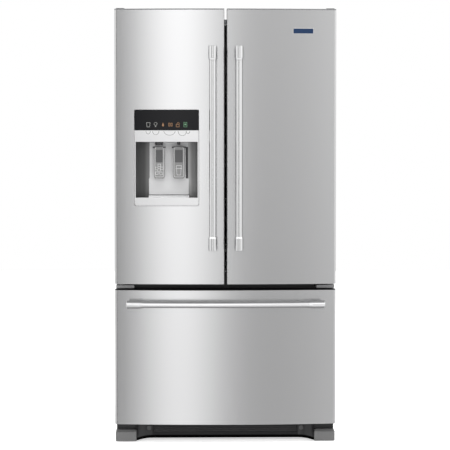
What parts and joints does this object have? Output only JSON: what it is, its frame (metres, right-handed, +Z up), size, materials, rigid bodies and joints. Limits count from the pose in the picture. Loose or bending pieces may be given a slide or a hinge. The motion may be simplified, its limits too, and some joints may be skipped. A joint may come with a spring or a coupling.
{
  "type": "french door refrigerator",
  "caption": "Stainless refrigerator with two upper doors, bottom freezer drawer, bar handles and an ice and water dispenser set in the left door.",
  "frame": {"origin": "on the floor, at the middle of the overall width and of the overall depth with handles", "axes": "+Z up, the doors face -Y, +X to the right of a person facing the doors"},
  "size_m": [0.905, 0.905, 1.7775],
  "materials": {
    "stainless": "vertical brushed stainless, satin",
    "polished_steel": "satin polished bar",
    "grey_paint": "fine textured grey enamel",
    "black_paint": "semi-gloss black enamel",
    "zinc_steel": "zinc plated sheet",
    "white_plastic": "smooth white liner",
    "grey_plastic": "light grey moulding",
    "dark_plastic": "black moulding",
    "black_glass": "gloss black touch panel",
    "gasket_rubber": "soft grey seal",
    "shelf_glass": "tempered pane with frosted rim",
    "clear_plastic": "clear moulded plastic"
  },
  "bodies": {
    "cabinet": {"cabinet_wrapper": "grey_paint", "centre_rail": "black_paint", "rear_panel": "zinc_steel", "machine_cover": "dark_plastic", "fresh_food_liner": "white_plastic", "freezer_liner": "white_plastic", "crisper_shelf": "shelf_glass", "base_frame": "zinc_steel", "base_grille": "dark_plastic", "compressor": "black_paint", "shelf_upper_left": "shelf_glass", "shelf_upper_right": "shelf_glass", "foot_cover_left": "grey_plastic", "foot_cover_right": "grey_plastic", "top_hinge_left": "grey_paint", "top_hinge_right": "grey_paint", "centre_hinge_left": "grey_paint", "centre_hinge_right": "grey_paint", "cabinet_rail_left": "zinc_steel", "cabinet_rail_right": "zinc_steel"},
    "left_door": {"door_skin_left": "stainless", "door_panel_left": "white_plastic", "door_gasket_left": "gasket_rubber", "handle_bar_left": "polished_steel", "handle_end_upper_left": "polished_steel", "handle_end_lower_left": "polished_steel", "control_panel": "black_glass", "dispenser_housing": "grey_plastic", "ice_housing": "white_plastic", "ice_maker": "grey_plastic"},
    "right_door": {"door_skin_right": "stainless", "door_panel_right": "white_plastic", "door_gasket_right": "gasket_rubber", "handle_bar_right": "polished_steel", "handle_end_upper_right": "polished_steel", "handle_end_lower_right": "polished_steel", "dairy_bin": "clear_plastic", "door_bin_middle": "clear_plastic", "door_bin_lower": "clear_plastic"},
    "freezer_drawer": {"drawer_skin": "stainless", "drawer_panel": "white_plastic", "drawer_gasket": "gasket_rubber", "drawer_handle_bar": "polished_steel", "drawer_handle_end_left": "polished_steel", "drawer_handle_end_right": "polished_steel", "drawer_basket": "clear_plastic"},
    "left_slide": {"middle_rail_left": "zinc_steel"},
    "right_slide": {"middle_rail_right": "zinc_steel"},
    "mullion": {"flip_mullion": "dark_plastic"},
    "ice_lever": {"ice_paddle": "grey_plastic"},
    "water_lever": {"water_paddle": "grey_plastic"},
    "dairy_flap": {"dairy_lid": "clear_plastic"},
    "left_crisper": {"crisper_left": "clear_plastic"},
    "right_crisper": {"crisper_right": "clear_plastic"},
    "pantry": {"pantry_drawer": "clear_plastic"},
    "upper_basket": {"freezer_basket": "clear_plastic"},
    "left_leg": {"levelling_leg_left": "zinc_steel"},
    "right_leg": {"levelling_leg_right": "zinc_steel"},
    "left_roller": {"rear_roller_left": "dark_plastic"},
    "right_roller": {"rear_roller_right": "dark_plastic"}
  },
  "joints": [
    {"name": "left_door_hinge", "type": "hinge", "parent": "cabinet", "child": "left_door", "pos_m": [-0.4285, -0.33, 1.2], "axis": [0, 0, -1], "range_deg": [0, 120]},
    {"name": "right_door_hinge", "type": "hinge", "parent": "cabinet", "child": "right_door", "pos_m": [0.4285, -0.33, 1.2], "axis": [0, 0, 1], "range_deg": [0, 120]},
    {"name": "freezer_drawer_slide", "type": "slide", "parent": "cabinet", "child": "freezer_drawer", "axis": [0, -1, 0], "range_m": [0, 0.4]},
    {"name": "left_slide_travel", "type": "slide", "parent": "cabinet", "child": "left_slide", "axis": [0, -1, 0], "range_m": [0, 0.2]},
    {"name": "right_slide_travel", "type": "slide", "parent": "cabinet", "child": "right_slide", "axis": [0, -1, 0], "range_m": [0, 0.2]},
    {"name": "mullion_fold", "type": "hinge", "parent": "left_door", "child": "mullion", "pos_m": [-0.032, -0.277, 1.2], "axis": [0, 0, -1], "range_deg": [0, 90]},
    {"name": "ice_paddle_press", "type": "hinge", "parent": "left_door", "child": "ice_lever", "pos_m": [-0.2705, -0.3375, 1.211], "axis": [1, 0, 0], "range_deg": [0, 7], "stiffness_Nm_per_rad": 1.5},
    {"name": "water_paddle_press", "type": "hinge", "parent": "left_door", "child": "water_lever", "pos_m": [-0.1905, -0.3375, 1.211], "axis": [1, 0, 0], "range_deg": [0, 7], "stiffness_Nm_per_rad": 1.5},
    {"name": "dairy_flap_hinge", "type": "hinge", "parent": "right_door", "child": "dairy_flap", "pos_m": [0.2235, -0.204, 1.671], "axis": [1, 0, 0], "range_deg": [0, 85]},
    {"name": "left_crisper_slide", "type": "slide", "parent": "cabinet", "child": "left_crisper", "axis": [0, -1, 0], "range_m": [0, 0.08]},
    {"name": "right_crisper_slide", "type": "slide", "parent": "cabinet", "child": "right_crisper", "axis": [0, -1, 0], "range_m": [0, 0.08]},
    {"name": "pantry_slide", "type": "slide", "parent": "cabinet", "child": "pantry", "axis": [0, -1, 0], "range_m": [0, 0.08]},
    {"name": "upper_basket_slide", "type": "slide", "parent": "cabinet", "child": "upper_basket", "axis": [0, -1, 0], "range_m": [0, 0.09]},
    {"name": "left_leg_screw", "type": "slide", "parent": "cabinet", "child": "left_leg", "axis": [0, 0, -1], "range_m": [0, 0.015]},
    {"name": "right_leg_screw", "type": "slide", "parent": "cabinet", "child": "right_leg", "axis": [0, 0, -1], "range_m": [0, 0.015]},
    {"name": "left_roller_spin", "type": "hinge", "parent": "cabinet", "child": "left_roller", "pos_m": [-0.4, 0.39, 0.02], "axis": [1, 0, 0], "continuous": true},
    {"name": "right_roller_spin", "type": "hinge", "parent": "cabinet", "child": "right_roller", "pos_m": [0.4, 0.39, 0.02], "axis": [1, 0, 0], "continuous": true}
  ],
  "couplings": [
    {"joint": "left_slide_travel", "follows": "freezer_drawer_slide", "ratio": 0.5},
    {"joint": "right_slide_travel", "follows": "freezer_drawer_slide", "ratio": 0.5}
  ]
}
